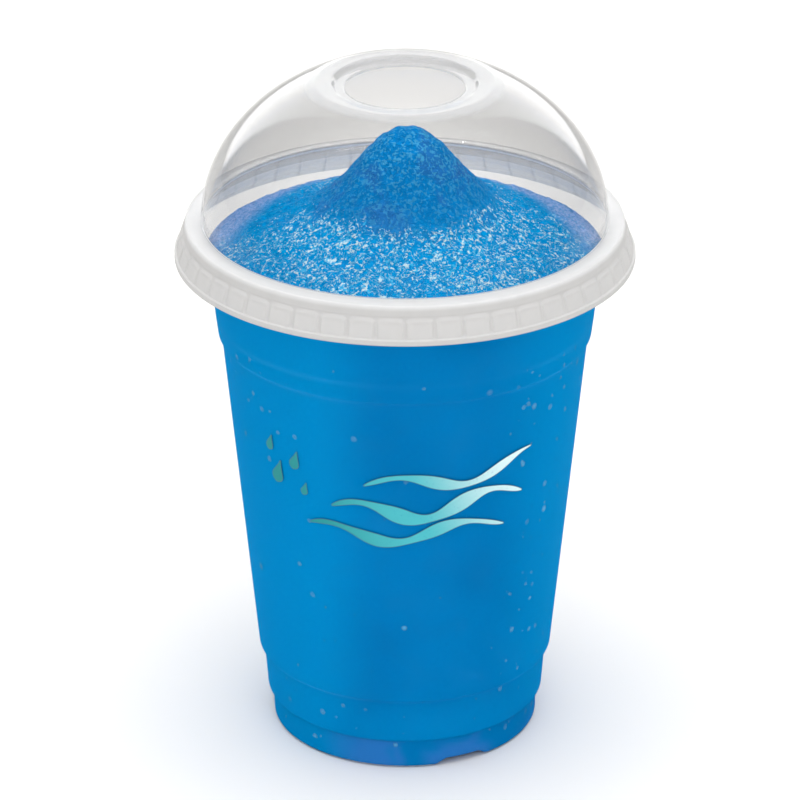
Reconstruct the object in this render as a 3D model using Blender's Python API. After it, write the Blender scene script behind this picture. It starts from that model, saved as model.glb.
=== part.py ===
"""A 16 oz clear cold-drink cup filled with slush, under a clear dome lid with a straw hole.

Three solids of revolution about the Z axis, +Z up, -Y the front. The origin is the centre
of the cup's foot ring, on the surface that the cup stands on. The lid lifts off along +Z.
"""

import math

import bmesh
import bpy

MM = 0.001

# Cup: outer radii and heights, in millimetres.
CUP_WALL = 0.5
PUSH_UP_RADIUS = 24.0
PUSH_UP_HEIGHT = 3.2
FOOT_RADIUS = 30.3
FOOT_INNER_RADIUS = 27.4
FOOT_EDGE_RADIUS = 1.0
FOOT_HEIGHT = 7.1
NOTCH_COUNT = 3
NOTCH_HEIGHT = 1.4
NOTCH_HALF_WIDTH = math.radians(13.0)
NOTCH_START = math.radians(-64.0)
LOWER_BAND_RADIUS = 31.6
LOWER_BAND_TAPER = 0.8
STEP_HEIGHT = 18.2
WALL_BOTTOM_RADIUS = 33.5
STEP_ROUNDING = 1.0
WALL_TAPER = 0.0995
SHOULDER_HEIGHT = 95.2
SHOULDER_STEP = 0.75
SHOULDER_TOP_RADIUS = 42.4
SHOULDER_TOP_HEIGHT = 100.0
SKIRT_STEP_HEIGHT = 112.0
SKIRT_STEP_TOP = 114.2
THROAT_RADIUS = 44.85
CURL_RADIUS = 1.0
CURL_CENTRE_RADIUS = 46.4
CURL_CENTRE_HEIGHT = 119.6
CURL_END_ANGLE = math.radians(-60.0)
CUP_SEGMENTS = 48

# Lid: outer radii and heights, in millimetres.
LID_WALL = 0.4
STRAW_HOLE_RADIUS = 13.2
LEDGE_RADIUS = 15.3
LEDGE_HEIGHT = 152.9
PLATEAU_INNER_RADIUS = 16.2
PLATEAU_OUTER_RADIUS = 19.6
PLATEAU_HEIGHT = 154.1
DOME_RADIUS = 45.0
DOME_SEMI_HEIGHT = 36.0
DOME_STEPS = 7
BRIM_HEIGHT = 121.9
BRIM_RADIUS = 48.1
BRIM_ROUNDING = 0.5
UPPER_BAND_RADIUS = 48.9
UPPER_BAND_BOTTOM = 119.7
FLUTE_COUNT = 50
FLUTE_DEPTH = 0.45
FLUTE_TOP_RADIUS = 49.25
FLUTE_TOP_HEIGHT = 119.3
FLUTE_BOTTOM_RADIUS = 50.6
FLUTE_BOTTOM_HEIGHT = 115.2
HEM_RADIUS = 51.0
HEM_TOP_HEIGHT = 114.9
HEM_BOTTOM_HEIGHT = 113.7
LID_SEGMENTS = 2 * FLUTE_COUNT

# Slush: it fills the cup to its edge height and rises to a rounded peak, in millimetres.
GAP = 0.3
SLUSH_EDGE_HEIGHT = 114.3
SLUSH_CROWN = 11.5
PEAK_HEIGHT = 17.4
PEAK_WIDTH = 14.6
PEAK_SHARPNESS = 2.1
SLUSH_TOP_STEPS = 12
SLUSH_SEGMENTS = 48

FRONT = math.radians(-90.0)


def clear_scene():
    for obj in list(bpy.data.objects):
        bpy.data.objects.remove(obj, do_unlink=True)


def material(name, colour, roughness, alpha=1.0):
    made = bpy.data.materials.new(name)
    made.use_nodes = True
    shader = made.node_tree.nodes["Principled BSDF"]
    shader.inputs["Base Color"].default_value = (*colour, 1.0)
    shader.inputs["Roughness"].default_value = roughness
    shader.inputs["Metallic"].default_value = 0.0
    shader.inputs["Alpha"].default_value = alpha
    return made


def arc(centre, radius, start, end, steps):
    """Points from angle start to angle end, both included, in the (radius, height) plane."""
    points = []
    for step in range(steps + 1):
        angle = start + (end - start) * step / steps
        points.append((centre[0] + radius * math.cos(angle), centre[1] + radius * math.sin(angle)))
    return points


def offset(path, distance):
    """The open path moved to its left by distance, with mitred corners."""
    moved = []
    for index, (r, z) in enumerate(path):
        before = path[max(index - 1, 0)]
        after = path[min(index + 1, len(path) - 1)]
        into = math.atan2(z - before[1], r - before[0])
        out_of = math.atan2(after[1] - z, after[0] - r)
        if index == 0:
            into = out_of
        if index == len(path) - 1:
            out_of = into
        half_turn = math.remainder(out_of - into, math.tau) / 2
        normal = into + half_turn + math.pi / 2
        reach = distance / math.cos(half_turn)
        moved.append((r + reach * math.cos(normal), z + reach * math.sin(normal)))
    return moved


def turned(name, outline, segments, shade, relief=None):
    """The solid that the closed outline of (radius, height) points sweeps about the Z axis.

    relief, if given, takes (radius, height, angle) and returns the radius and height there.
    """
    bm = bmesh.new()
    ring = [bm.verts.new((r * MM, 0.0, z * MM)) for r, z in outline]
    edges = []
    for start, end in zip(ring, ring[1:] + ring[:1]):
        if start.co.x > 0 or end.co.x > 0:
            edges.append(bm.edges.new((start, end)))
    bmesh.ops.spin(
        bm,
        geom=ring + edges,
        cent=(0.0, 0.0, 0.0),
        axis=(0.0, 0.0, 1.0),
        angle=math.tau,
        steps=segments,
        use_merge=True,
    )
    bmesh.ops.remove_doubles(bm, verts=bm.verts, dist=0.001 * MM)
    if relief:
        for vert in bm.verts:
            radius = math.hypot(vert.co.x, vert.co.y)
            angle = math.atan2(vert.co.y, vert.co.x)
            new_radius, new_height = relief(radius / MM, vert.co.z / MM, angle)
            vert.co = (
                new_radius * MM * math.cos(angle),
                new_radius * MM * math.sin(angle),
                new_height * MM,
            )
    bmesh.ops.recalc_face_normals(bm, faces=bm.faces)
    mesh = bpy.data.meshes.new(name)
    bm.to_mesh(mesh)
    bm.free()
    mesh.shade_smooth()
    mesh.set_sharp_from_angle(angle=math.radians(35.0))
    mesh.materials.append(shade)
    obj = bpy.data.objects.new(name, mesh)
    bpy.context.scene.collection.objects.link(obj)
    return obj


def cup_side():
    """The cup's outer face, from the middle of its base to the free end of its rolled rim."""
    band_top = LOWER_BAND_RADIUS + LOWER_BAND_TAPER
    wall_top = WALL_BOTTOM_RADIUS + WALL_TAPER * (SHOULDER_HEIGHT - STEP_HEIGHT)
    skirt_step_radius = SHOULDER_TOP_RADIUS + WALL_TAPER * (SKIRT_STEP_HEIGHT - SHOULDER_TOP_HEIGHT)
    path = [(0.0, PUSH_UP_HEIGHT), (PUSH_UP_RADIUS, PUSH_UP_HEIGHT)]
    path += [(FOOT_INNER_RADIUS, 0.0)]
    path += arc(
        (FOOT_RADIUS - FOOT_EDGE_RADIUS, FOOT_EDGE_RADIUS), FOOT_EDGE_RADIUS, -math.pi / 2, 0.0, 2
    )
    path += [(FOOT_RADIUS, FOOT_HEIGHT - STEP_ROUNDING / 2)]
    path += [(LOWER_BAND_RADIUS, FOOT_HEIGHT + STEP_ROUNDING / 2)]
    path += [(band_top, STEP_HEIGHT - STEP_ROUNDING)]
    path += [(WALL_BOTTOM_RADIUS, STEP_HEIGHT + STEP_ROUNDING / 2)]
    path += [(wall_top, SHOULDER_HEIGHT)]
    path += [(wall_top + SHOULDER_STEP, SHOULDER_HEIGHT + SHOULDER_STEP)]
    path += [(SHOULDER_TOP_RADIUS, SHOULDER_TOP_HEIGHT)]
    path += [(skirt_step_radius, SKIRT_STEP_HEIGHT)]
    path += [(THROAT_RADIUS, SKIRT_STEP_TOP)]
    path += arc(
        (CURL_CENTRE_RADIUS, CURL_CENTRE_HEIGHT), CURL_RADIUS, math.pi, CURL_END_ANGLE, 8
    )
    return path


def foot_notches(radius, height, angle):
    """Three shallow arches in the underside of the foot ring."""
    if radius < PUSH_UP_RADIUS + 1.0 or height > FOOT_EDGE_RADIUS:
        return radius, height
    spacing = math.tau / NOTCH_COUNT
    away = abs(math.remainder(angle - NOTCH_START, spacing))
    if away > NOTCH_HALF_WIDTH:
        return radius, height
    return radius, height + NOTCH_HEIGHT * math.cos(away / NOTCH_HALF_WIDTH * math.pi / 2) ** 0.5


def make_cup(shade):
    outer = cup_side()
    inner = offset(outer, CUP_WALL)
    inner[0] = (0.0, PUSH_UP_HEIGHT + CUP_WALL)
    return turned("cup", outer + inner[::-1], CUP_SEGMENTS, shade, foot_notches)


def lid_side():
    """The lid's outer face, from the edge of the straw hole to the bottom of its hem."""
    plateau_angle = math.acos(PLATEAU_OUTER_RADIUS / DOME_RADIUS)
    path = [(STRAW_HOLE_RADIUS, LEDGE_HEIGHT), (LEDGE_RADIUS, LEDGE_HEIGHT)]
    path += [(PLATEAU_INNER_RADIUS, PLATEAU_HEIGHT), (PLATEAU_OUTER_RADIUS, PLATEAU_HEIGHT)]
    for step in range(1, DOME_STEPS + 1):
        angle = plateau_angle * (1 - step / DOME_STEPS)
        height = BRIM_HEIGHT + DOME_SEMI_HEIGHT * math.sin(angle)
        path.append((DOME_RADIUS * math.cos(angle), height))
    path += arc((BRIM_RADIUS, BRIM_HEIGHT - BRIM_ROUNDING), BRIM_ROUNDING, math.pi / 2, 0.2, 2)
    path += [(UPPER_BAND_RADIUS, UPPER_BAND_BOTTOM)]
    path += [(FLUTE_TOP_RADIUS, FLUTE_TOP_HEIGHT), (FLUTE_BOTTOM_RADIUS, FLUTE_BOTTOM_HEIGHT)]
    path += [(HEM_RADIUS, HEM_TOP_HEIGHT), (HEM_RADIUS, HEM_BOTTOM_HEIGHT)]
    return path


def flutes(radius, height, angle):
    """Upright grooves round the skirt, one of them at the front."""
    wall_below = radius - LID_WALL - FLUTE_DEPTH > UPPER_BAND_RADIUS - 2 * LID_WALL
    if not wall_below or not FLUTE_BOTTOM_HEIGHT - 0.2 < height < FLUTE_TOP_HEIGHT + 0.2:
        return radius, height
    groove = 0.5 + 0.5 * math.cos(FLUTE_COUNT * (angle - FRONT))
    return radius - FLUTE_DEPTH * groove, height


def make_lid(shade):
    outer = lid_side()
    inner = offset(outer, -LID_WALL)
    return turned("dome_lid", outer + inner[::-1], LID_SEGMENTS, shade, flutes)


def slush_height(radius):
    """Height of the slush's top at this distance from the axis: a crowned bed and a peak."""
    crown = SLUSH_CROWN * (1 - (radius / slush_edge_radius()) ** 2)
    peak = PEAK_HEIGHT * math.exp(-((radius / PEAK_WIDTH) ** PEAK_SHARPNESS))
    return SLUSH_EDGE_HEIGHT + crown + peak


def slush_edge_radius():
    return THROAT_RADIUS - CUP_WALL - GAP


def make_slush(shade):
    """The contents, a gap clear of the cup's inner face and of the arches in its foot."""
    inset = offset(cup_side(), CUP_WALL + GAP)
    floor = NOTCH_HEIGHT + CUP_WALL + GAP
    path = [(0.0, PUSH_UP_HEIGHT + CUP_WALL + GAP), inset[1]]
    path += [(FOOT_INNER_RADIUS, floor + 0.1)]
    path += [(FOOT_RADIUS - CUP_WALL - GAP, floor + 0.1)]
    path += [(r, z) for r, z in inset if FOOT_HEIGHT - 1.0 < z < SLUSH_EDGE_HEIGHT - 0.5]
    edge = slush_edge_radius()
    for step in range(SLUSH_TOP_STEPS + 1):
        radius = edge * (1 - step / SLUSH_TOP_STEPS)
        path.append((radius, slush_height(radius)))
    return turned("slush", path, SLUSH_SEGMENTS, shade)


def main():
    clear_scene()
    clear_pet = material("clear_pet", (0.90, 0.93, 0.95), 0.06, alpha=0.30)
    clear_lid = material("clear_lid", (0.93, 0.94, 0.94), 0.06, alpha=0.30)
    blue_ice = material("blue_ice", (0.005, 0.21, 0.55), 0.35)
    make_cup(clear_pet)
    make_slush(blue_ice)
    make_lid(clear_lid)


main()
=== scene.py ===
"""A clear cup of blue slush under a clear dome lid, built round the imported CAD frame.

Lengths are in metres: values in millimetres are multiplied by MM. The CAD boxes give the top
and hem of the lid and the edge of the slush, and the outlines below say how each wall steps
between its ends.
"""

import math
import random

import bmesh
import bpy
import numpy as np
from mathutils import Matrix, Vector, noise


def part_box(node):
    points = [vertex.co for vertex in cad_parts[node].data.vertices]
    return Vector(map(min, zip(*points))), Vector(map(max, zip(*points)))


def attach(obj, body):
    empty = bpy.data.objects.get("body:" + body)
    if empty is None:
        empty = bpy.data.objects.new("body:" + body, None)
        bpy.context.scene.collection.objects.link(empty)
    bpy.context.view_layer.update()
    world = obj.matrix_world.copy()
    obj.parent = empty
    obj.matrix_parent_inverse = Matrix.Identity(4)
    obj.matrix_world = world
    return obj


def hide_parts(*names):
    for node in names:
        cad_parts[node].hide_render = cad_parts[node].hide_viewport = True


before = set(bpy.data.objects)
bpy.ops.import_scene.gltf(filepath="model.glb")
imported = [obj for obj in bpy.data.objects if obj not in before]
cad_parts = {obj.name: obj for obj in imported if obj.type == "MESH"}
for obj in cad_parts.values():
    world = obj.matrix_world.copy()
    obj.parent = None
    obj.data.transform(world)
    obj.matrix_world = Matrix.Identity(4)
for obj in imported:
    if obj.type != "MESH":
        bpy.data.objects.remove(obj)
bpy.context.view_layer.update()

MM = 0.001
FRONT = -math.pi / 2

# Heights and radii that the CAD solids give.
LID_LOW, LID_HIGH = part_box("dome_lid")
SLUSH_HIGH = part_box("slush")[1]
HEM_RADIUS = LID_HIGH.x
HEM_BOTTOM = LID_LOW.z
PLATEAU = LID_HIGH.z
SLUSH_RADIUS = SLUSH_HIGH.x

# Cup wall. The notches are scooped out of the bottom of the foot ring.
CUP_WALL = 0.22 * MM
CUP_SEGMENTS = 240
CUP_SPACING = 2.5 * MM
CURL_CENTRE = (46.4 * MM, 119.6 * MM)
CURL_RADIUS = 1.0 * MM
WALL_BOTTOM = (33.5, 18.5)
WALL_TOP = (41.1, 95.1)
NOTCH_COUNT = 3
NOTCH_RISE = 1.4 * MM
NOTCH_HALF = math.radians(13.0)
NOTCH_AT = math.radians(-64.0)
NOTCH_INNER = 25.0 * MM
NOTCH_TOP = 1.3 * MM

# Lid wall: the straw recess and plateau, the dome, and the brim.
LID_WALL = 0.4 * MM
RECESS = 1.2 * MM
BRIM = PLATEAU - 32.2 * MM
DOME_RADIUS = 45.0 * MM
DOME_RISE = 36.0 * MM
DOME_TOP_RADIUS = 20.6 * MM
DOME_STEPS = 40
HEAD_SPACING = 0.8 * MM
SKIRT_SPACING = 0.36 * MM
MARK_AT = math.radians(77.0)
MARK_HALF = math.radians(1.2)
MARK_DEPTH = 0.35 * MM

# The skirt's flutes. FLUTE_SIDE spaces the points out from a groove to mid-panel.
FLUTES = 50
DOME_SEGMENTS = 4 * FLUTES
FLUTE_SIDE = (0.0, 0.05, 0.10, 0.16, 0.24, 0.36, 0.55, 0.78)
PANEL_RISE = 0.28 * MM
PANEL_HALF = 2.92 * MM
PANEL_TOP = 119.25 * MM
PANEL_EDGE = 0.26 * MM
PANEL_BASE = 115.12 * MM
PANEL_FADE = 115.35 * MM
FLUTED_TOP = 119.6 * MM
ARCH_DROP = 0.75 * MM
INNER_INSET = 0.75 * MM
INNER_SINK = 0.10 * MM

# Slush: its smooth form, then the ice grains on it.
BED_EDGE = 114.3 * MM
CROWN = 11.5 * MM
PEAK = 17.2 * MM
PEAK_WIDTH = 14.6 * MM
PEAK_POWER = 2.2
PEAK_SHIFT = 0.3 * MM
SWELL = 0.5 * MM
TOP_RINGS = 150
SIDE_SEGMENTS = 2 * TOP_RINGS
SIDE_TOP = 113.6 * MM
SIDE_CLEARANCE = 0.04 * MM
GRAIN = 0.85 * MM
GRAIN_HEIGHT = 0.36 * MM
GRAIN_SEED = 7
LUMP = 2.4 * MM
LUMP_HEIGHT = 0.42 * MM
CALM_EDGE = 0.7 * MM

# Bubbles against the wall: angle from the front in degrees, height in mm, how many.
BUBBLE_PATCHES = (
    ((-72, -44), (82, 99), 26),
    ((38, 82), (20, 104), 104),
    ((-85, -30), (20, 80), 16),
    ((-40, 40), (18, 110), 22),
    ((-90, 90), (8, 17), 26),
    ((-80, 80), (1, 7), 30),
    ((90, 270), (8, 108), 90),
)
BUBBLE_SEED = 7
BUBBLE_SMALL = 0.22 * MM
BUBBLE_BIG = 1.0 * MM
BUBBLE_POWER = 3.5
BUBBLE_RINGS = 4
BUBBLE_SIDES = 14
BUBBLE_HALF_THICK = 0.03 * MM

# Print: its dark edge, and how far each layer stands off the wall, inner and outer face.
INK_EDGE = 0.16 * MM
EDGE_LAYER = (0.004 * MM, 0.020 * MM)
FILL_LAYER = (0.012 * MM, 0.040 * MM)
# Waves: left, right, height, rise, swing, cycles, phase, width. Drops: along, height, how tall.
WAVES = (
    (-22.0, 23.0, 61.8, 1.5, 1.9, 1.5, 0.10, 3.1),
    (-16.5, 28.0, 67.6, 2.5, 2.3, 1.5, 0.06, 3.9),
    (-9.0, 30.5, 74.4, 3.5, 2.0, 1.25, 0.02, 2.9),
)
WAVE_STEPS = 64
DROPS = ((-31.0, 70.2, 5.6), (-26.0, 75.2, 4.4), (-33.5, 77.8, 3.6), (-23.4, 69.4, 2.9))
DROP_STEPS = 20
DROP_BELLY = 0.33

# Plastic: pairs of heights or radii between which its clear part turns to its milky part.
# The shares say how milky each part is. The next value is how strongly the skirt's inner face glows
# with painted light, emitted though it is no lamp, and the last is how much of that glow is left in
# its grooves, a painted shade.
BRIM_CLOUDS = (122.3 * MM, 121.7 * MM)
HEAD_CLOUDS = (22.4 * MM, 21.4 * MM)
THROAT_CLOUDS = (112.5 * MM, 114.5 * MM)
RIM_CLOUDS = (117.6 * MM, 118.6 * MM)
OUTER_MILK = 0.90
INNER_MILK = 0.97
HEAD_MILK = 0.22
THROAT_MILK = 0.10
RIM_MILK = 0.12
SKIRT_PAINTED_GLOW = 0.48
GROOVE_SHADE = 0.60

# Studio. BACKDROP matches the far floor, the powers are in watts, and the rest are strengths.
# The mirrored back panel is as wide as BACK_HALF to each side, and ends at BACK_TOP.
FLOOR_HALF = 3.0
BACKDROP = 0.70
ROOM_LIGHT = 0.77
GLOSS_ROOM = 0.12
GLOSS_BACK = 3.0
BACK_HALF = math.radians(37.0)
BACK_TOP = math.radians(52.0)
LIGHT_AIM = 0.1
OVERHEAD_POWER = 5.6
FRONT_POWER = 4.0
STRIP_POWER = 0.30
SPARK_POWER = 0.05

# Camera, as recovered from the photograph: a long lens, straight on and looking down.
PITCH = math.radians(24.88)
DISTANCE = 1.1351
TARGET = (-0.0011, 0.0, 0.07756)
LENS = 227.6
SENSOR = 36.0


def new_mesh(name, points, faces, smooth=True):
    mesh = bpy.data.meshes.new(name)
    mesh.from_pydata([tuple(p) for p in points], [], faces)
    mesh.validate()
    mesh.update()
    if smooth:
        mesh.shade_smooth()
    obj = bpy.data.objects.new(name, mesh)
    bpy.context.scene.collection.objects.link(obj)
    return obj


def arc(centre, radius, start, end, steps):
    """Points on an arc in the (radius, height) plane, both ends included."""
    turn = [start + (end - start) * i / steps for i in range(steps + 1)]
    return [(centre[0] + radius * math.cos(a), centre[1] + radius * math.sin(a)) for a in turn]


def rounded(path, rounding, steps=4):
    """The open path with each corner that has a radius in rounding turned into an arc."""
    out = [path[0]]
    for index in range(1, len(path) - 1):
        r = rounding.get(index, 0.0)
        here = Vector(path[index])
        if r <= 0:
            out.append(tuple(here))
            continue
        back = Vector(path[index - 1]) - here
        ahead = Vector(path[index + 1]) - here
        angle = back.angle(ahead)
        reach = min(r / math.tan(angle / 2), back.length * 0.49, ahead.length * 0.49)
        start = here + back.normalized() * reach
        end = here + ahead.normalized() * reach
        for i in range(steps + 1):
            t = i / steps
            out.append(tuple(start * (1 - t) ** 2 + here * 2 * t * (1 - t) + end * t * t))
    out.append(path[-1])
    return out


def resampled(path, spacing):
    """The path with points added so that no stretch is longer than spacing."""
    out = [path[0]]
    for a, b in zip(path, path[1:]):
        length = math.hypot(b[0] - a[0], b[1] - a[1])
        parts = max(1, math.ceil(length / spacing))
        for i in range(1, parts + 1):
            out.append((a[0] + (b[0] - a[0]) * i / parts, a[1] + (b[1] - a[1]) * i / parts))
    return out


def offset(path, distance):
    """The open path moved to its left by distance, with mitred corners."""
    moved = []
    for i, (r, z) in enumerate(path):
        a = path[max(i - 1, 0)]
        b = path[min(i + 1, len(path) - 1)]
        into = math.atan2(z - a[1], r - a[0]) if i else None
        out_of = math.atan2(b[1] - z, b[0] - r) if i < len(path) - 1 else None
        into = out_of if into is None else into
        out_of = into if out_of is None else out_of
        half = math.remainder(out_of - into, math.tau) / 2
        reach = distance / math.cos(half)
        normal = into + half + math.pi / 2
        moved.append((r + reach * math.cos(normal), z + reach * math.sin(normal)))
    return moved


def lathe(name, outline, angles, relief=None):
    """A closed outline of (radius, height) swept about Z. Points at radius 0 become poles.

    angles is one list of angles, or a list of them with one for each outline point, so that
    a fine stretch can meet a coarse one: the finer count is a whole multiple of the coarser.
    """
    if not isinstance(angles[0], (list, tuple)):
        angles = [angles] * len(outline)
    points = []
    rings = []
    for (r, z), turn in zip(outline, angles):
        if r < 1e-9:
            rings.append([len(points)])
            points.append((0.0, 0.0, z))
            continue
        ring = []
        for a in turn:
            rr, zz = relief(r, z, a) if relief else (r, z)
            ring.append(len(points))
            points.append((rr * math.cos(a), rr * math.sin(a), zz))
        rings.append(ring)
    faces = []
    for low, high in zip(rings, rings[1:] + rings[:1]):
        faces += band(low, high)
    return new_mesh(name, points, faces)


def band(low, high):
    """Faces between two rings of vertex indices, which may be poles or differ by a whole ratio."""
    if len(low) == 1 and len(high) == 1:
        return []
    if len(low) == 1:
        return [(low[0], high[(i + 1) % len(high)], high[i]) for i in range(len(high))]
    if len(high) == 1:
        return [(low[i], low[(i + 1) % len(low)], high[0]) for i in range(len(low))]
    if len(low) > len(high):
        return [tuple(reversed(f)) for f in band(high, low)]
    ratio = len(high) // len(low)
    faces = []
    for i in range(len(low)):
        fine = [high[(i * ratio + k) % len(high)] for k in range(ratio + 1)]
        faces.append((low[i], low[(i + 1) % len(low)], *reversed(fine)))
    return faces


def even_angles(count, start=FRONT):
    return [start + math.tau * i / count for i in range(count)]


def smoothstep(low, high, value):
    t = min(max((value - low) / (high - low), 0.0), 1.0)
    return t * t * (3 - 2 * t)


# ---------------------------------------------------------------- outlines


def cup_side():
    """The cup's outer face, from the middle of its base to the free end of its rolled rim."""
    corners = [(0.0, 3.2), (24.0, 3.2), (27.4, 0.0), (30.3, 0.0), (30.3, 7.1), (31.6, 7.3)]
    corners += [(32.4, 17.6), WALL_BOTTOM, WALL_TOP, (41.85, 95.7), (42.4, 100.0)]
    corners += [(43.6, 112.0), (44.85, 114.2), (45.4, 119.6)]
    corners = [(r * MM, z * MM) for r, z in corners]
    sizes = {1: 1.2, 2: 1.0, 3: 1.2, 4: 0.6, 5: 0.9, 6: 0.5, 7: 0.9, 8: 0.5, 9: 0.5, 10: 2.5}
    sizes.update({11: 0.8, 12: 0.8})
    path = rounded(corners, {k: v * MM for k, v in sizes.items()})
    curl = arc(CURL_CENTRE, CURL_RADIUS, math.pi, math.radians(-60), 18)
    return path[:-1] + curl


def foot_notches(r, z, angle):
    """Lifts the bottom of the foot ring where a notch is."""
    if r < NOTCH_INNER or z > NOTCH_TOP:
        return r, z
    away = abs(math.remainder(angle - NOTCH_AT, math.tau / NOTCH_COUNT))
    rise = NOTCH_RISE * (1 - smoothstep(0.55, 1.0, away / NOTCH_HALF))
    return r, z + rise * (1 - 0.6 * z / NOTCH_TOP)


def lid_side():
    """The lid's outer face, from the edge of the straw hole to the bottom of its hem.

    It comes in three stretches: head, dome, and brim with skirt.
    """
    head = [(13.2 * MM, PLATEAU - RECESS), (15.3 * MM, PLATEAU - RECESS)]
    head += [(16.2 * MM, PLATEAU), (19.6 * MM, PLATEAU), (22.2 * MM, PLATEAU - 0.9 * MM)]
    head = rounded(head, {1: 0.5 * MM, 2: 0.6 * MM, 3: 0.8 * MM})[:-1]
    dome = []
    start = math.acos(DOME_TOP_RADIUS / DOME_RADIUS)
    for step in range(DOME_STEPS + 1):
        a = start * (1 - step / DOME_STEPS)
        dome.append((DOME_RADIUS * math.cos(a), BRIM + DOME_RISE * math.sin(a)))
    skirt = [dome[-1], (48.5 * MM, BRIM), (48.95 * MM, 119.75 * MM)]
    skirt += [(49.1 * MM, 119.55 * MM), (50.55 * MM, 115.05 * MM), (50.98 * MM, 114.85 * MM)]
    skirt += [(HEM_RADIUS, HEM_BOTTOM)]
    skirt = rounded(skirt, {1: 0.7 * MM, 2: 0.3 * MM, 3: 0.3 * MM, 4: 0.25 * MM, 5: 0.25 * MM})
    return head, dome, skirt[1:]


def lid_relief(r, z, angle):
    """The small vertical mould mark in the straw recess, and the skirt's panels."""
    if z > PLATEAU - 1.6 * MM and 15.0 * MM < r < 16.3 * MM:
        near = abs(math.remainder(angle - MARK_AT, math.tau)) < MARK_HALF
        return r - (MARK_DEPTH if near else 0.0), z
    return panel(r, z, angle)


def panel_depth(r, z, angle):
    """How far this point lies inside the nearest panel's outline, below 0 outside it."""
    pitch = math.tau / FLUTES
    across = abs(math.remainder(angle - FRONT - pitch / 2, pitch)) * r
    top = PANEL_TOP - ARCH_DROP * (across / PANEL_HALF) ** 4
    return min(PANEL_HALF - across, top - z)


def panel(r, z, angle):
    """Raises the skirt's panels, each with a shallow sunk middle."""
    if z > FLUTED_TOP or z < PANEL_BASE:
        return r, z
    inside = panel_depth(r, z, angle)
    raised = PANEL_RISE * smoothstep(0.0, PANEL_EDGE, inside)
    sunk = INNER_SINK * smoothstep(0.0, 0.3 * MM, inside - INNER_INSET)
    fade = smoothstep(PANEL_BASE, PANEL_FADE, z)
    return r + (raised - sunk) * fade - PANEL_RISE * 0.6 * fade, z


def flute_angles():
    """The angles round the skirt, the same for each flute and closer together at its grooves."""
    pitch = math.tau / FLUTES
    half = [s * pitch / 2 for s in FLUTE_SIDE]
    out = []
    for flute in range(FLUTES):
        start = FRONT + flute * pitch
        out += [start + h for h in half]
        out += [start + pitch / 2]
        out += [start + pitch - h for h in reversed(half[1:])]
    return out


# ---------------------------------------------------------------- pieces


def make_cup():
    """One closed shell: out along the outer face and back along the inner."""
    outer = resampled(cup_side(), CUP_SPACING)
    inner = offset(outer, CUP_WALL)
    inner[0] = (0.0, outer[0][1] + CUP_WALL)
    obj = lathe("clear_cup", outer + inner[::-1], even_angles(CUP_SEGMENTS), foot_notches)
    finish_piece(obj, "cup")
    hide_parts("cup")
    return obj


def make_lid():
    """One closed shell, with finer points round the skirt than round the dome.

    Its points carry inside, 1 on the inner face, and groove, 1 in the skirt's grooves.
    """
    head, dome, skirt = lid_side()
    coarse = resampled(head, HEAD_SPACING) + dome
    fine = resampled(skirt, SKIRT_SPACING)
    outer = coarse + fine
    inner = offset(outer, -LID_WALL)
    rough_turn = even_angles(DOME_SEGMENTS)
    fine_turn = flute_angles()
    turns = [rough_turn] * len(coarse) + [fine_turn] * len(fine)
    obj = lathe("clear_dome_lid", outer + inner[::-1], turns + turns[::-1], lid_relief)
    outer_points = sum(len(turn) for turn in turns)
    inside, groove = [], []
    for i, vertex in enumerate(obj.data.vertices):
        x, y, z = vertex.co
        inside.append(0.0 if i < outer_points else 1.0)
        depth = panel_depth(math.hypot(x, y), z, math.atan2(y, x))
        groove.append(1 - smoothstep(-0.1 * MM, PANEL_EDGE, depth))
    mark_points(obj, "inside", inside)
    mark_points(obj, "groove", groove)
    finish_piece(obj, "lid")
    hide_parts("dome_lid")
    return obj


def mark_points(obj, name, values):
    """Stores one number for each point, for the material to read."""
    attribute = obj.data.attributes.new(name, "FLOAT", "POINT")
    attribute.data.foreach_set("value", values)


def finish_piece(obj, body):
    """Turns the faces of a closed mesh outward, and says what the piece moves with."""
    mesh = obj.data
    volume = sum(p.normal.dot(p.center) * p.area for p in mesh.polygons)
    if volume < 0:
        mesh.flip_normals()
    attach(obj, body)


def slush_top(x, y):
    """Height of the slush before its grains: a crowned bed and a peak with a slight lean."""
    r = math.hypot(x, y)
    crown = CROWN * (1 - (r / SLUSH_RADIUS) ** 2)
    around = math.atan2(y, x)
    width = PEAK_WIDTH * (1 + 0.06 * math.cos(around) + 0.03 * math.sin(2 * around))
    peak = PEAK * math.exp(-((math.hypot(x + PEAK_SHIFT, y) / width) ** PEAK_POWER))
    swell = SWELL * noise.noise(Vector((x, y, 0.0)) * 70.0)
    return BED_EDGE + crown + peak + swell * (1 - (r / SLUSH_RADIUS) ** 4)


def grain_field(x, y, z):
    """How high the ice grains stand here, from -1 to 1, with worm-like ridges."""
    p = Vector((x, y, z)) / GRAIN
    warp = noise.noise_vector(p * 0.6) * 0.9
    ridge = 1 - abs(noise.noise(p * 0.75 + warp)) * 2.6
    lumps = noise.noise(p * 0.45 + Vector((7.3, 1.1, 4.2)))
    return 0.62 * ridge + 0.38 * lumps


def disc_rings(count, radius):
    """Rings of 6, 12, 18 ... points that cover a disc with even triangles."""
    rings = [[(0.0, 0.0)]]
    for k in range(1, count + 1):
        rr = radius * k / count
        ring = []
        for i in range(6 * k):
            a = FRONT + math.tau * i / (6 * k)
            ring.append((rr * math.cos(a), rr * math.sin(a)))
        rings.append(ring)
    return rings


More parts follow.
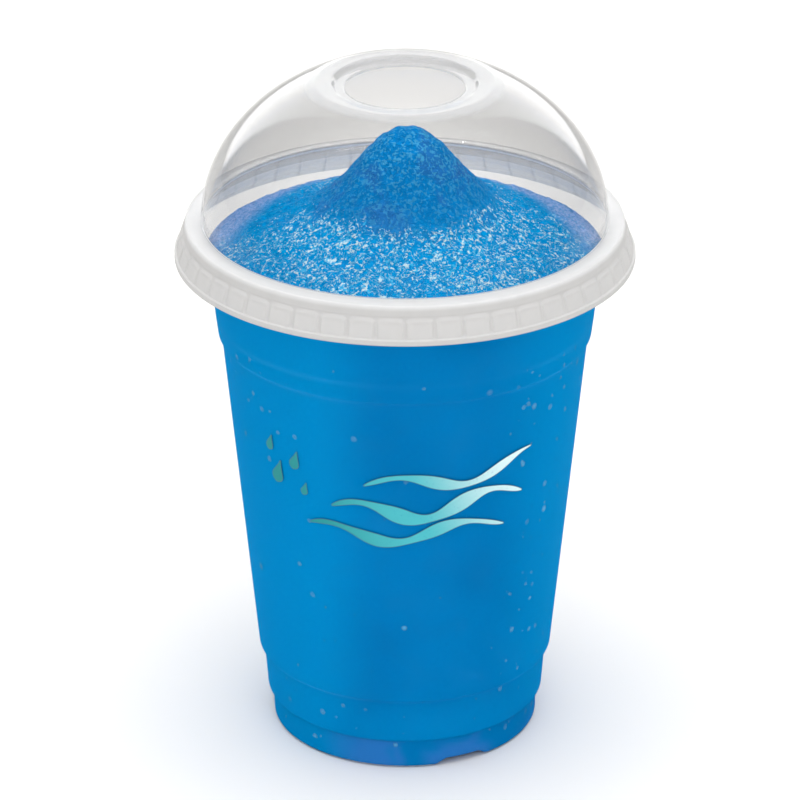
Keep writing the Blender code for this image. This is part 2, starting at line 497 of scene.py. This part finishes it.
def disc_faces(rings):
    """Triangles between rings of vertex indices from disc_rings."""
    faces = [(rings[0][0], rings[1][i], rings[1][(i + 1) % 6]) for i in range(6)]
    for k in range(1, len(rings) - 1):
        low, high = rings[k], rings[k + 1]
        for side in range(6):
            for i in range(k + 1):
                a = low[(side * k + i) % len(low)]
                b = high[(side * (k + 1) + i) % len(high)]
                c = high[(side * (k + 1) + i + 1) % len(high)]
                faces.append((a, b, c))
                if i < k:
                    faces.append((a, c, low[(side * k + i + 1) % len(low)]))
    return faces


def slush_side():
    """The side of the slush from its top edge to the base, just inside the cup's wall."""
    path = offset(resampled(cup_side(), CUP_SPACING), CUP_WALL + SIDE_CLEARANCE)
    return [(r, z) for r, z in path if z < SIDE_TOP and r > 1 * MM][::-1]


def make_slush():
    """The contents: grains on top, and a smooth side where it presses on the cup.

    Its points carry how high the grains stand, which the material uses to make the painted glints
    brighter on raised grains.
    """
    noise.seed_set(GRAIN_SEED)
    points, grain_rise = [], []
    rings = []
    edge = SLUSH_RADIUS
    for ring in disc_rings(TOP_RINGS, edge):
        indices = []
        for x, y in ring:
            z = slush_top(x, y)
            r = math.hypot(x, y)
            grain = grain_field(x, y, z)
            lump = noise.noise(Vector((x, y, z + 0.05)) / LUMP)
            calm = 1 - 0.9 * smoothstep(edge - CALM_EDGE, edge, r)
            peak = 1 - smoothstep(12 * MM, 22 * MM, r)
            height = GRAIN_HEIGHT * (1 - 0.25 * peak) * grain + LUMP_HEIGHT * lump
            indices.append(len(points))
            points.append((x, y, z + height * calm))
            grain_rise.append(grain)
        rings.append(indices)
    faces = disc_faces(rings)
    top_count = len(faces)
    side = slush_side()
    last = rings[-1]
    for r, z in side:
        ring = []
        for a in even_angles(SIDE_SEGMENTS):
            rr, zz = foot_notches(r, z - CUP_WALL, a)
            ring.append(len(points))
            points.append((rr * math.cos(a), rr * math.sin(a), zz + CUP_WALL))
            grain_rise.append(0.0)
        faces += band(ring, last)
        last = ring
    pole = len(points)
    points.append((0.0, 0.0, side[-1][1]))
    grain_rise.append(0.0)
    faces += band([pole], last)
    obj = new_mesh("slush_ice", points, faces)
    mark_points(obj, "grain_rise", grain_rise)
    for face in obj.data.polygons[top_count:]:
        face.material_index = 1
    finish_piece(obj, "cup")
    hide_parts("slush")
    return obj


def make_bubbles():
    """Flat lens-shaped air bubbles trapped between the slush and the wall.

    Each is two shallow caps that share their rim. Their points carry core, how pale they are.
    """
    rng = random.Random(BUBBLE_SEED)
    side = slush_side()[::-1]
    heights = [z for r, z in side]
    radii = [r for r, z in side]
    points, faces, core = [], [], []
    for spread, rise, count in BUBBLE_PATCHES:
        for _ in range(count):
            middle = FRONT + math.radians(rng.uniform(*spread))
            level = rng.uniform(*rise) * MM
            size = BUBBLE_SMALL + (BUBBLE_BIG - BUBBLE_SMALL) * rng.random() ** BUBBLE_POWER
            strength = rng.uniform(0.25, 0.9)
            for sign in (1, -1):
                start = len(points)
                for ring in range(BUBBLE_RINGS + 1):
                    q = ring / BUBBLE_RINGS
                    for i in range(BUBBLE_SIDES if ring else 1):
                        turn = math.tau * i / BUBBLE_SIDES
                        z = level + size * q * math.sin(turn)
                        base = float(np.interp(z, heights, radii))
                        a = middle + size * q * math.cos(turn) / base
                        r = base + sign * BUBBLE_HALF_THICK * (1 - q * q)
                        points.append((r * math.cos(a), r * math.sin(a), z))
                        core.append(strength * (1 - q * q))
                rings = [[start]]
                for ring in range(BUBBLE_RINGS):
                    first = start + 1 + ring * BUBBLE_SIDES
                    rings.append([first + i for i in range(BUBBLE_SIDES)])
                if sign < 0:
                    rings[-1] = outer_rim
                outer_rim = rings[-1]
                for low, high in zip(rings, rings[1:]):
                    faces += [f[::sign] for f in band(high, low)]
    obj = new_mesh("wall_bubbles", points, faces)
    mark_points(obj, "core", core)
    tidy_mesh(obj)
    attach(obj, "cup")
    return obj


def tidy_mesh(obj):
    """Drops the points that no face uses."""
    bm = bmesh.new()
    bm.from_mesh(obj.data)
    loose = [v for v in bm.verts if not v.link_faces]
    bmesh.ops.delete(bm, geom=loose, context="VERTS")
    bm.to_mesh(obj.data)
    bm.free()


def printed_shell(rows, layer_heights, points, faces):
    """Adds a closed thin shell for a grid of rows of (along, height), wrapped on the wall.

    layer_heights says how far its inner and outer faces stand off the wall.
    """
    wide = len(rows[0])
    start = len(points)
    for lift in layer_heights:
        for row in rows:
            for along, z in row:
                r = wall_radius(z) + lift
                a = FRONT + along / wall_radius(z)
                points.append((r * math.cos(a), r * math.sin(a), z))
    count = len(rows) * wide

    def at(layer, i, j):
        return start + layer * count + i * wide + j

    last, end = len(rows) - 1, wide - 1
    for i in range(last):
        for j in range(end):
            quad = [(i, j), (i, j + 1), (i + 1, j + 1), (i + 1, j)]
            faces.append(tuple(at(0, *q) for q in quad))
            faces.append(tuple(at(1, *q) for q in reversed(quad)))
    edge = [(i, 0) for i in range(last)] + [(last, j) for j in range(end)]
    edge += [(i, end) for i in range(last, 0, -1)] + [(0, j) for j in range(end, 0, -1)]
    for a, b in zip(edge, edge[1:] + edge[:1]):
        faces.append((at(0, *a), at(0, *b), at(1, *b), at(1, *a)))


def stroke(path, widths, grow=0.0):
    """Rows of five points across a path of (along, height), each as wide as widths says.

    grow makes the stroke bigger by that much all round.
    """
    rows = []
    for i, here in enumerate(path):
        back = path[max(i - 1, 0)]
        ahead = path[min(i + 1, len(path) - 1)]
        way = Vector((ahead[0] - back[0], ahead[1] - back[1])).normalized()
        aside = Vector((-way.y, way.x))
        half = widths[i] / 2 + grow
        push = -grow if i == 0 else grow if i == len(path) - 1 else 0.0
        middle = Vector(here) + way * push
        rows.append([tuple(middle + aside * half * (j / 2 - 1)) for j in range(5)])
    return rows


def wall_radius(z):
    """The outer radius of the tapered wall at this height."""
    low, high = WALL_BOTTOM, WALL_TOP
    t = (z / MM - low[1]) / (high[1] - low[1])
    return (low[0] + (high[0] - low[0]) * t) * MM


def motif_strokes():
    """A plain generic print: three rolling waves, with droplets above their left end."""
    strokes = []
    for left, right, height, rise, swing, cycles, phase, width in WAVES:
        path, widths = [], []
        for i in range(WAVE_STEPS + 1):
            t = i / WAVE_STEPS
            roll = swing * math.sin(math.tau * (cycles * t + phase))
            path.append(((left + (right - left) * t) * MM, (height + rise * t + roll) * MM))
            fat = math.sin(math.pi * t) ** 0.7 * (0.72 + 0.28 * math.cos(math.tau * cycles * t * 2))
            widths.append((0.16 + width * fat) * MM)
        strokes.append((path, widths))
    for along, height, tall in DROPS:
        path, widths = [], []
        for i in range(DROP_STEPS + 1):
            t = i / DROP_STEPS
            path.append(((along + 0.25 * tall * (t - 0.5)) * MM, (height + tall * t) * MM))
            if t < DROP_BELLY:
                shape = math.sqrt(max(0.0, 1 - (t / DROP_BELLY - 1) ** 2))
            else:
                shape = (1 - (t - DROP_BELLY) / (1 - DROP_BELLY)) ** 1.25
            widths.append((0.10 + 0.56 * tall * shape) * MM)
        strokes.append((path, widths))
    return strokes


def make_motif():
    """The print: each stroke is a wider dark layer with the coloured layer over it.

    Its points carry ink, 1 on the coloured layer.
    """
    points, faces, ink = [], [], []
    for path, widths in motif_strokes():
        printed_shell(stroke(path, widths, INK_EDGE), EDGE_LAYER, points, faces)
        ink += [0.0] * (len(points) - len(ink))
        printed_shell(stroke(path, widths), FILL_LAYER, points, faces)
        ink += [1.0] * (len(points) - len(ink))
    obj = new_mesh("printed_waves", points, faces, smooth=False)
    mark_points(obj, "ink", ink)
    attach(obj, "cup")
    return obj


# ---------------------------------------------------------------- materials


class Nodes:
    """A short way to build the node tree of a material or of the world."""

    def __init__(self, owner, output="ShaderNodeOutputMaterial"):
        owner.use_nodes = True
        self.owner = owner
        self.tree = owner.node_tree
        self.tree.nodes.clear()
        self.out = self.add(output)

    def add(self, kind, inputs=None, **settings):
        """A new node, with its inputs linked or set and its own settings."""
        node = self.tree.nodes.new(kind)
        for key, value in settings.items():
            setattr(node, key, value)
        for key, value in (inputs or {}).items():
            self.put(node.inputs[key], value)
        return node

    def put(self, socket, value):
        """Links the value if it comes from a node, and sets it if it is constant."""
        if isinstance(value, bpy.types.NodeSocket):
            self.tree.links.new(value, socket)
        else:
            socket.default_value = value

    def math(self, operation, a, b=0.0, clamp=False):
        node = self.add("ShaderNodeMath", operation=operation, use_clamp=clamp)
        self.put(node.inputs[0], a)
        self.put(node.inputs[1], b)
        return node.outputs[0]

    def ramp(self, value, low, high, start=0.0, end=1.0):
        """value mapped smoothly from low..high to start..end."""
        node = self.add("ShaderNodeMapRange", interpolation_type="SMOOTHSTEP")
        keys = ("Value", "From Min", "From Max", "To Min", "To Max")
        for key, item in zip(keys, (value, low, high, start, end)):
            self.put(node.inputs[key], item)
        return node.outputs["Result"]

    def mix(self, factor, a, b):
        """Colour a where the factor is 0, and b where it is 1."""
        node = self.add("ShaderNodeMix", data_type="RGBA")
        self.put(node.inputs[0], factor)
        self.put(node.inputs[6], a)
        self.put(node.inputs[7], b)
        return node.outputs[2]

    def position(self):
        """Object coordinates and their separate axes."""
        co = self.add("ShaderNodeTexCoord").outputs["Object"]
        axes = self.add("ShaderNodeSeparateXYZ", {"Vector": co})
        return co, axes.outputs["X"], axes.outputs["Y"], axes.outputs["Z"]

    def radius(self, x, y):
        """Distance from the Z axis."""
        flat = self.add("ShaderNodeCombineXYZ", {"X": x, "Y": y})
        length = self.add("ShaderNodeVectorMath", operation="LENGTH")
        self.put(length.inputs[0], flat.outputs[0])
        return length.outputs["Value"]

    def noise(self, vector, scale, detail=2.0, distortion=0.0, roughness=0.5):
        node = self.add("ShaderNodeTexNoise", {
            "Vector": vector, "Scale": scale, "Detail": detail,
            "Distortion": distortion, "Roughness": roughness,
        })
        return node.outputs["Fac"]

    def surface(self, shader):
        """Makes this shader the result, and gives back the finished material or world."""
        self.tree.links.new(shader, self.out.inputs["Surface"])
        return self.owner


def material_nodes(name):
    return Nodes(bpy.data.materials.new(name))


def rgb(r, g, b):
    """A display colour, 0 to 255, as linear light."""
    def linear(v):
        v /= 255
        return v / 12.92 if v <= 0.04045 else ((v + 0.055) / 1.055) ** 2.4
    return (linear(r), linear(g), linear(b), 1.0)


def grey(level):
    """A neutral colour, 0 to 1, as linear light."""
    return (level, level, level, 1.0)


DEEP_BLUE = rgb(0, 152, 226)
WET_BLUE = rgb(0, 170, 242)
PEAK_BLUE = rgb(8, 133, 212)
PEAK_GLINT = rgb(70, 172, 228)
VIOLET = rgb(58, 118, 200)
PALE_BLUE = rgb(66, 196, 252)
GLINT_WHITE = rgb(220, 246, 255)
LAVENDER_SHEEN = rgb(172, 200, 255)
WALL_DEEP = rgb(0, 114, 181)
WALL_LIGHT = rgb(0, 120, 188)
WALL_SIDE_LIT = rgb(0, 138, 205)
WALL_PALE = rgb(60, 160, 218)
WALL_FOOT = rgb(46, 120, 198)
BUBBLE_BLUE = rgb(70, 172, 228)
BUBBLE_PALE = rgb(140, 206, 244)
INK_TEAL = rgb(0, 138, 138)
INK_AQUA = rgb(74, 186, 196)
INK_PALE = rgb(220, 245, 248)
INK_SPECK = rgb(0, 120, 168)
INK_GREY = rgb(70, 118, 140)
SKIRT_WHITE = rgb(203, 202, 201)
BRIM_LIT_WHITE = rgb(219, 219, 219)
RIM_WHITE = rgb(252, 252, 252)
FLOOR_SHADES = ((0.905, 0.892, 0.873, 1.0), (0.92, 0.907, 0.888, 1.0))
# Height in mm, reach in mm and strength of the pale lines at the wall's steps.
STEP_LINES = ((7.1, 0.6, 0.45), (18.1, 0.9, 0.30), (95.3, 1.1, 0.20), (100.0, 0.9, 0.12))


def clear_plastic(name, clear, dusk, haze, painted_glow, glow_share, gloss):
    """See-through plastic: light passes straight on, some hazes, and a share is mirrored.

    clear is the grey that passes at right angles and dusk at a slant. haze is a function of
    the node builder that gives the hazy share and its colour, the argument after it one that
    gives a painted glow, light that the milky part emits though it is no lamp, or None, and
    glow_share is how much of the haze lets light through. gloss gives the share mirrored at
    right angles, how much more at a glancing angle, and the roughness. The hazier the
    plastic, the duller its mirror.
    """
    least, more, roughness = gloss
    n = material_nodes(name)
    fine = n.noise(n.position()[0], 260.0, 2.0)
    bump = n.add("ShaderNodeBump", {"Strength": 0.12, "Distance": 0.1 * MM, "Height": fine})
    facing = n.add("ShaderNodeLayerWeight", {"Blend": 0.5}).outputs["Facing"]
    slant = n.ramp(facing, 0.05, 0.36)
    edge_on = n.ramp(facing, 0.62, 0.86, 1.0, 0.15)
    tint = n.mix(n.math("MULTIPLY", slant, edge_on), grey(clear), grey(dusk))
    see = n.add("ShaderNodeBsdfTransparent", {"Color": tint})
    hazy, haze_colour = haze(n)
    body = n.add("ShaderNodeBsdfDiffuse", {"Color": haze_colour, "Normal": bump.outputs[0]})
    glow = n.add("ShaderNodeBsdfTranslucent", {"Color": haze_colour})
    milky = n.add("ShaderNodeMixShader", {0: glow_share, 1: body.outputs[0], 2: glow.outputs[0]})
    # The painted glow: the milky part emits light of its own, though it is no lamp.
    if painted_glow:
        lit = n.add("ShaderNodeEmission", {"Color": grey(1.0), "Strength": painted_glow(n)})
        milky = n.add("ShaderNodeAddShader", {0: milky.outputs[0], 1: lit.outputs[0]})
    through = n.add("ShaderNodeMixShader", {0: hazy, 1: see.outputs[0], 2: milky.outputs[0]})
    mirror = n.add("ShaderNodeBsdfGlossy", {"Roughness": roughness, "Normal": bump.outputs[0]})
    grazing = n.math("POWER", facing, 5.0)
    dulled = n.ramp(hazy, 0.0, 1.0, 1.0, 0.3)
    share = n.math("MULTIPLY", n.math("ADD", n.math("MULTIPLY", grazing, more), least), dulled)
    top = n.add("ShaderNodeMixShader", {0: share, 1: through.outputs[0], 2: mirror.outputs[0]})
    return n.surface(top.outputs[0])


def lid_haze(n):
    """The drawn-out skirt and brim are milky, the plateau faintly so, and the dome is clear. The
    brim and head are painted whiter than the skirt, as if lit from above.
    """
    co, x, y, z = n.position()
    inside = n.add("ShaderNodeAttribute", attribute_name="inside").outputs["Fac"]
    skirt = n.ramp(z, *BRIM_CLOUDS, 0.0, n.ramp(inside, 0.0, 1.0, OUTER_MILK, INNER_MILK))
    head = n.ramp(n.radius(x, y), *HEAD_CLOUDS, 0.0, HEAD_MILK)
    cloud = n.noise(co, 160.0, 3.0)
    streaks = n.ramp(cloud, 0.2, 0.8, 0.96, 1.03)
    share = n.math("MULTIPLY", n.math("ADD", skirt, head), streaks, clamp=True)
    # Painted light: above the skirt the milky colour turns whiter, as if the brim and head were lit
    # from above.
    brim = n.ramp(z, 120.6 * MM, 121.5 * MM)
    return share, n.mix(brim, SKIRT_WHITE, BRIM_LIT_WHITE)


def lid_painted_glow(n):
    """A painted glow: light that the milky skirt's inner face emits though it is no lamp, painted
    darker in the grooves.
    """
    inside = n.add("ShaderNodeAttribute", attribute_name="inside").outputs["Fac"]
    groove = n.add("ShaderNodeAttribute", attribute_name="groove").outputs["Fac"]
    skirt = n.ramp(n.position()[3], *BRIM_CLOUDS, 0.0, SKIRT_PAINTED_GLOW)
    shaded = n.ramp(groove, 0.0, 1.0, 1.0, GROOVE_SHADE)
    return n.math("MULTIPLY", n.math("MULTIPLY", inside, skirt), shaded)


def cup_haze(n):
    """The throat is faintly milky, and the rolled rim above it a little more so."""
    z = n.position()[3]
    throat = n.ramp(z, *THROAT_CLOUDS, 0.0, THROAT_MILK)
    rim = n.ramp(z, *RIM_CLOUDS, 0.0, RIM_MILK)
    return n.math("ADD", throat, rim), RIM_WHITE


def worms(n, vector, scale, width, distortion):
    """Curly lines, 1 along the middle of each and 0 between them.

    They follow the noise's middle level, and width is how far from it they reach.
    """
    level = n.noise(vector, scale, 1.0, distortion)
    return n.ramp(n.math("ABSOLUTE", n.math("SUBTRACT", level, 0.5)), width, width * 0.15)


def slush_top_material():
    """Wet ice grains: curly bright flecks on deep blue, painted as glints and fewer on the peak,
    painted glints on the peak, and a painted lavender sheen at the rear.

    Noise scales are in cells for each metre, so 1000 is a cell each millimetre.
    """
    n = material_nodes("slush_ice_grains")
    co, x, y, z = n.position()
    r = n.radius(x, y)
    grain_rise = n.add("ShaderNodeAttribute", attribute_name="grain_rise").outputs["Fac"]
    big = worms(n, co, 440.0, width=0.072, distortion=1.4)
    small = worms(n, co, 720.0, width=0.066, distortion=1.0)
    broken = n.ramp(n.noise(co, 330.0, 2.0, 0.3), 0.34, 0.46)
    patches = n.noise(co, 120.0, 3.0, 0.5)
    wide = n.noise(co, 45.0, 2.0, 0.2)
    dust = n.noise(co, 1400.0, 1.0, 0.4)
    on_peak = n.ramp(r, 24.0 * MM, 15.0 * MM)
    rear = n.ramp(y, -16.0 * MM, 14.0 * MM)
    outward = n.math("ADD", r, n.math("MULTIPLY", rear, 8.0 * MM))
    at_rim = n.ramp(outward, 38.8 * MM, 46.5 * MM)

    # The wet blue between the flecks, a darker blue on the peak with violet patches, and painted
    # glints on the peak that grow brighter towards its top.
    deep = n.mix(n.ramp(dust, 0.40, 0.60), DEEP_BLUE, WET_BLUE)
    deep = n.mix(n.math("MULTIPLY", on_peak, 0.8), deep, PEAK_BLUE)
    violet = n.ramp(n.math("ADD", patches, n.math("MULTIPLY", on_peak, 0.05)), 0.53, 0.68)
    deep = n.mix(n.math("MULTIPLY", violet, n.ramp(on_peak, 0.0, 1.0, 0.18, 0.50)), deep, VIOLET)
    glint = n.math("MULTIPLY", n.ramp(n.noise(co, 1250.0, 1.0, 0.6), 0.50, 0.62), on_peak)
    glint = n.math("MULTIPLY", glint, n.ramp(z, 126.0 * MM, 141.0 * MM, 0.7, 1.25))
    deep = n.mix(n.math("MULTIPLY", glint, 0.8), deep, PEAK_GLINT)

    # The flecks are painted highlights that stand for the glints of wet ice: where they lie, and
    # how many show in each part of the bed.
    lines = n.math("MAXIMUM", n.math("MULTIPLY", big, broken), n.math("MULTIPLY", small, 0.82))
    # Painted highlight: the flecks are brighter where the grains stand high, as if their crests
    # caught the light.
    raised = n.ramp(grain_rise, -0.15, 0.55, 0.6, 1.35)
    sides = n.ramp(n.math("ABSOLUTE", x), 11.0 * MM, 30.0 * MM, 1.0, 0.76)
    amount = n.math("MULTIPLY", n.ramp(wide, 0.36, 0.60, 0.72, 1.05), sides)
    amount = n.math("MULTIPLY", amount, n.ramp(rear, 0.0, 1.0, 1.0, 0.64))
    amount = n.math("MULTIPLY", amount, n.ramp(on_peak, 0.0, 1.0, 1.0, 0.34))
    painted_fleck_glint = n.math("MULTIPLY", n.math("MULTIPLY", lines, raised), amount, clamp=True)
    painted_fleck_glint = n.ramp(painted_fleck_glint, 0.43, 0.70)
    glint_colour = n.mix(n.ramp(dust, 0.42, 0.62), PALE_BLUE, GLINT_WHITE)
    grains = n.mix(painted_fleck_glint, deep, glint_colour)

    # Painted sheen: a pale lavender band along the rear and side edge, where the grains are seen at
    # a glancing angle and catch the light.
    painted_edge_sheen = n.math("MULTIPLY", at_rim, n.ramp(rear, 0.0, 1.0, 0.12, 1.15), clamp=True)
    painted_edge_sheen = n.math("MULTIPLY", painted_edge_sheen, n.ramp(dust, 0.38, 0.62, 0.40, 0.95))
    colour = n.mix(painted_edge_sheen, grains, LAVENDER_SHEEN)

    height = n.math("ADD", n.math("MULTIPLY", lines, 0.8), n.math("MULTIPLY", dust, 0.5))
    bump = n.add("ShaderNodeBump", {"Strength": 0.8, "Distance": 0.4 * MM, "Height": height})
    shader = n.add("ShaderNodeBsdfPrincipled", {
        "Base Color": colour, "Roughness": n.ramp(painted_fleck_glint, 0.0, 1.0, 0.40, 0.18),
        "IOR": 1.31, "Specular IOR Level": 0.02, "Normal": bump.outputs[0],
    })
    return n.surface(shader.outputs[0])


def slush_side_material():
    """The slush where it is pressed flat on the wall: an even wet blue, with painted light making
    it paler at the left and right sides and towards the bottom.

    Pale lines mark the wall's steps, and the foot ring is blue and violet in patches, with painted
    light making its left side paler.
    """
    n = material_nodes("slush_pressed_side")
    co, x, y, z = n.position()
    wide = n.noise(co, 34.0, 2.0, 0.3)
    cloud = n.noise(co, 150.0, 3.0, 0.6)
    grit = n.noise(co, 1300.0, 2.0)
    wall = n.mix(n.ramp(wide, 0.36, 0.66), WALL_DEEP, WALL_LIGHT)
    wall = n.mix(n.ramp(cloud, 0.50, 0.80, 0.0, 0.05), wall, WALL_PALE)
    wall = n.mix(n.ramp(grit, 0.58, 0.72, 0.0, 0.05), wall, WALL_PALE)
    # Painted light: paler towards the left and right sides, which catch more light, and towards the
    # bottom, as if lit from the floor.
    side = n.math("MAXIMUM", n.ramp(x, -4.0 * MM, -21.0 * MM), n.ramp(x, 16.0 * MM, 36.0 * MM))
    low = n.ramp(z, 24.0 * MM, 8.0 * MM, 0.0, 0.55)
    wall = n.mix(n.math("MAXIMUM", side, low), wall, WALL_SIDE_LIT)
    show = n.ramp(side, 0.0, 1.0, 0.3, 1.0)
    for level, reach, strength in STEP_LINES:
        away = n.math("ABSOLUTE", n.math("SUBTRACT", z, level * MM))
        line = n.math("MULTIPLY", n.ramp(away, reach * MM, 0.0, 0.0, strength), show)
        wall = n.mix(line, wall, WALL_PALE)
    foot = n.mix(n.ramp(n.noise(co, 70.0, 2.0, 0.6), 0.42, 0.60), WALL_FOOT, WALL_LIGHT)
    # Painted light: the foot ring is paler on its left side.
    foot = n.mix(n.ramp(x, -9.0 * MM, -20.0 * MM), foot, WALL_SIDE_LIT)
    wall = n.mix(n.ramp(z, 7.6 * MM, 6.2 * MM, 0.0, 0.85), wall, foot)
    shader = n.add("ShaderNodeBsdfPrincipled", {
        "Base Color": wall, "Roughness": 0.75, "Specular IOR Level": 0.0,
    })
    return n.surface(shader.outputs[0])


def bubble_material():
    """Pale in the middle of each bubble, and gone at its edge."""
    n = material_nodes("air_bubble")
    core = n.add("ShaderNodeAttribute", attribute_name="core").outputs["Fac"]
    co = n.position()[0]
    tint = n.mix(n.noise(co, 900.0), BUBBLE_BLUE, BUBBLE_PALE)
    see = n.add("ShaderNodeBsdfTransparent")
    pale = n.add("ShaderNodeBsdfDiffuse", {"Color": tint})
    solid = n.math("MULTIPLY", core, 0.85, clamp=True)
    top = n.add("ShaderNodeMixShader", {0: solid, 1: see.outputs[0], 2: pale.outputs[0]})
    return n.surface(top.outputs[0])


def ink_material():
    """Print that runs from deep teal on the left to pale aqua on the right, edged in grey."""
    n = material_nodes("printed_ink")
    co, x, y, z = n.position()
    ink = n.add("ShaderNodeAttribute", attribute_name="ink").outputs["Fac"]
    drift = n.math("ADD", x, n.math("MULTIPLY", z, 0.35))
    first = n.mix(n.ramp(drift, -4.0 * MM, 26.0 * MM), INK_TEAL, INK_AQUA)
    fill = n.mix(n.ramp(drift, 26.0 * MM, 54.0 * MM), first, INK_PALE)
    speck = n.ramp(n.noise(co, 2200.0, 2.0), 0.62, 0.74, 0.0, 0.35)
    fill = n.mix(speck, fill, INK_SPECK)
    colour = n.mix(ink, INK_GREY, fill)
    shader = n.add("ShaderNodeBsdfPrincipled", {
        "Base Color": colour, "Roughness": 0.42, "Specular IOR Level": 0.2,
    })
    return n.surface(shader.outputs[0])


# ---------------------------------------------------------------- studio


def make_world():
    """An even pale room. Mirrored in gloss it is dark, with a bright panel at the back."""
    n = Nodes(bpy.data.worlds.new("studio"), "ShaderNodeOutputWorld")
    way = n.add("ShaderNodeTexCoord").outputs["Generated"]
    axes = n.add("ShaderNodeSeparateXYZ", {"Vector": way})
    flat = n.add("ShaderNodeCombineXYZ", {"X": axes.outputs["X"], "Y": axes.outputs["Y"]})
    level = n.add("ShaderNodeVectorMath", operation="NORMALIZE")
    n.put(level.inputs[0], flat.outputs[0])
    behind = n.add("ShaderNodeSeparateXYZ", {"Vector": level.outputs[0]}).outputs["Y"]
    side = math.cos(BACK_HALF)
    top = math.sin(BACK_TOP)
    below_top = n.ramp(axes.outputs["Z"], top + 0.03, top - 0.03)
    in_panel = n.math("MULTIPLY", n.ramp(behind, side - 0.02, side + 0.02), below_top)
    mirrored = n.ramp(in_panel, 0.0, 1.0, GLOSS_ROOM, GLOSS_BACK)
    ray = n.add("ShaderNodeLightPath")
    unseen = n.ramp(ray.outputs["Is Glossy Ray"], 0.0, 1.0, ROOM_LIGHT, mirrored)
    strength = n.ramp(ray.outputs["Is Camera Ray"], 0.0, 1.0, unseen, BACKDROP)
    light = n.add("ShaderNodeBackground", {"Color": grey(1.0), "Strength": strength})
    bpy.context.scene.world = n.surface(light.outputs[0])


def make_light(name, place, size, power, shape="RECTANGLE"):
    """An area light aimed at the middle of the object, which the camera doesn't see."""
    light = bpy.data.lights.new(name, "AREA")
    light.shape = shape
    light.size, light.size_y = size
    light.energy = power
    lamp = bpy.data.objects.new(name, light)
    lamp.location = place
    aim = Vector((0, 0, LIGHT_AIM)) - Vector(place)
    lamp.rotation_euler = aim.to_track_quat("-Z", "Y").to_euler()
    lamp.visible_camera = False
    bpy.context.scene.collection.objects.link(lamp)
    return lamp


def make_studio():
    """The floor, the room and its lights. Gloss mirrors only the two small lights."""
    bpy.context.scene.view_settings.view_transform = "Standard"
    make_world()
    corners = [(x * FLOOR_HALF, y * FLOOR_HALF, 0) for x, y in ((-1, -1), (1, -1), (1, 1), (-1, 1))]
    floor = new_mesh("studio_floor", corners, [(0, 1, 2, 3)])
    n = material_nodes("pale_floor")
    shade = n.mix(n.noise(n.position()[0], 8.0), *FLOOR_SHADES)
    floor_shader = n.add("ShaderNodeBsdfDiffuse", {"Color": shade})
    floor.data.materials.append(n.surface(floor_shader.outputs[0]))
    overhead = make_light("overhead_softbox", (0.0, 0.0, 0.9), (1.0, 1.0), OVERHEAD_POWER, "DISK")
    front = make_light("front_softbox", (0.16, -1.25, 0.95), (1.2, 0.9), FRONT_POWER)
    for lamp in (overhead, front):
        lamp.visible_glossy = False
    strip = make_light("left_strip", (-0.37, 0.09, 1.1), (0.03, 0.25), STRIP_POWER)
    spark = make_light("right_spark", (0.38, 0.17, 1.05), (0.03, 0.03), SPARK_POWER)
    for lamp in (strip, spark):
        lamp.visible_diffuse = False


def make_camera():
    """The camera at the photograph's viewing angle."""
    data = bpy.data.cameras.new("camera")
    data.sensor_width = SENSOR
    data.lens = LENS
    camera = bpy.data.objects.new("camera", data)
    away = Vector((0.0, -math.cos(PITCH), math.sin(PITCH)))
    camera.location = Vector(TARGET) + DISTANCE * away
    camera.rotation_euler = (math.pi / 2 - PITCH, 0.0, 0.0)
    bpy.context.scene.collection.objects.link(camera)
    bpy.context.scene.camera = camera


# ---------------------------------------------------------------- assembly

make_studio()
make_camera()
cup = make_cup()
lid = make_lid()
slush = make_slush()
bubbles = make_bubbles()
motif = make_motif()
cup.data.materials.append(clear_plastic(
    "clear_cup_plastic", clear=0.995, dusk=0.97, haze=cup_haze, painted_glow=None,
    glow_share=0.4, gloss=(0.001, 0.012, 0.12)))
lid.data.materials.append(clear_plastic(
    "clear_lid_plastic", clear=0.905, dusk=0.855, haze=lid_haze, painted_glow=lid_painted_glow,
    glow_share=0.12, gloss=(0.006, 0.95, 0.06)))
slush.data.materials.append(slush_top_material())
slush.data.materials.append(slush_side_material())
bubbles.data.materials.append(bubble_material())
motif.data.materials.append(ink_material())
